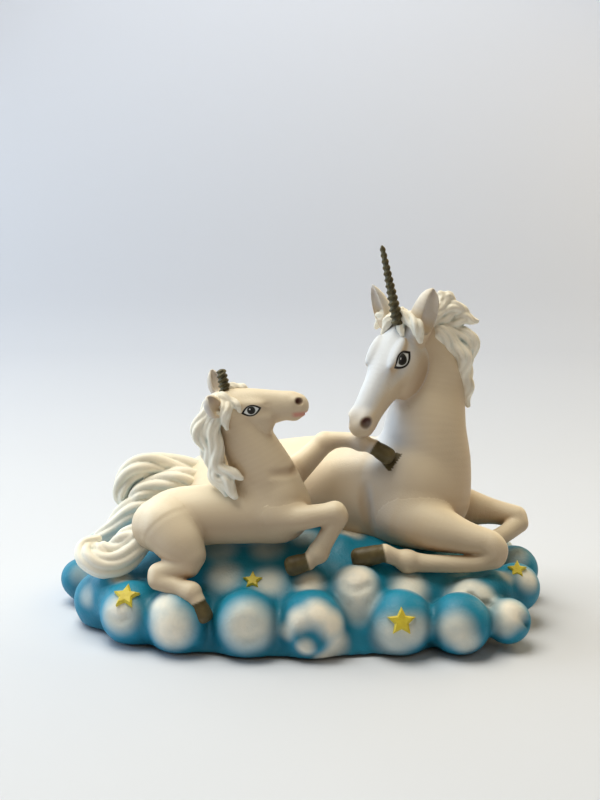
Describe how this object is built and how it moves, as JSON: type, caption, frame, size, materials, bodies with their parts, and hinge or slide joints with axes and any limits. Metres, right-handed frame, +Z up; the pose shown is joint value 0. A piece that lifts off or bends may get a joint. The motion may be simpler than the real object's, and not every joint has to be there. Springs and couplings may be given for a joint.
{
  "type": "unicorn figurine",
  "caption": "Painted resin ornament: a lying unicorn mare with a foal reaching up to it, on a puffy blue cloud set with stars, with a flat felt sole.",
  "frame": {"origin": "on the table under the middle of the cloud, at the underside of the felt sole", "axes": "+Z up, +X along the ornament from the foal's tail to the mare's knees, +Y from the front to the back"},
  "size_m": [0.216, 0.132, 0.1631],
  "materials": {
    "ivory_resin": "satin paint on cast resin",
    "cloud_paint": "airbrushed blue and white paint on cast resin",
    "bronze_paint": "dull bronze paint on cast resin",
    "star_paint": "yellow paint on cast resin",
    "felt": "pressed felt",
    "steel": "plain drawn wire"
  },
  "bodies": {
    "root": {"cloud_base": "cloud_paint", "felt_sole": "felt", "mare_body": "ivory_resin", "mare_head": "ivory_resin", "mare_horn": "bronze_paint", "mare_tail": "ivory_resin", "mare_near_foreleg": "ivory_resin", "mare_off_foreleg": "ivory_resin", "mare_near_hindleg": "ivory_resin", "mare_off_hindleg": "ivory_resin", "foal_body": "ivory_resin", "foal_head": "ivory_resin", "foal_horn": "bronze_paint", "foal_tail": "ivory_resin", "foal_near_foreleg": "ivory_resin", "foal_raised_foreleg": "ivory_resin", "foal_near_hindleg": "ivory_resin", "foal_off_hindleg": "ivory_resin", "star_left": "star_paint", "star_middle": "star_paint", "star_front": "star_paint", "star_right": "star_paint", "steel_dowels": "steel"}
  },
  "joints": []
}
